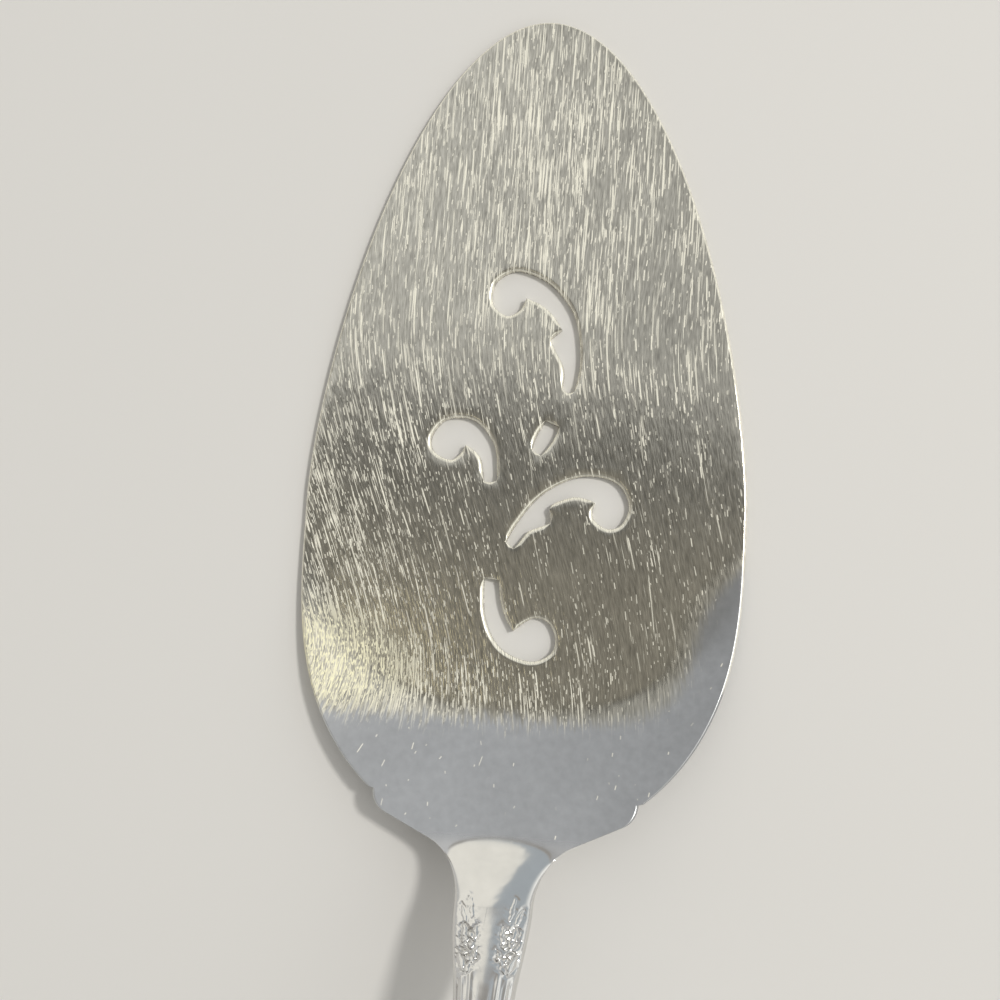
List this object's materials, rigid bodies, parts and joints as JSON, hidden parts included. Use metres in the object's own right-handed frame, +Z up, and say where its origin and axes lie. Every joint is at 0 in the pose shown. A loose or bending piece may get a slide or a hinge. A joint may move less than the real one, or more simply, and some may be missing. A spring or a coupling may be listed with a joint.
{
  "type": "pie server",
  "caption": "Stainless pie server with a leaf-shaped blade pierced with scrolls, a dished heel, a rising neck and a hollow arched handle.",
  "frame": {"origin": "middle of the footprint, on the surface that the server lies on", "axes": "+Y along the server to the blade's tip, +X to the right seen from above, +Z up out of the blade's floor"},
  "size_m": [0.06, 0.2582, 0.0251],
  "materials": {
    "blade_steel": "worn satin stainless, scratched lengthwise",
    "handle_steel": "polished stainless with darkened relief",
    "cement": "dull cast filler"
  },
  "bodies": {
    "root": {"blade": "blade_steel", "handle_top_shell": "handle_steel", "handle_bottom_shell": "handle_steel", "handle_filler": "cement"}
  },
  "joints": []
}
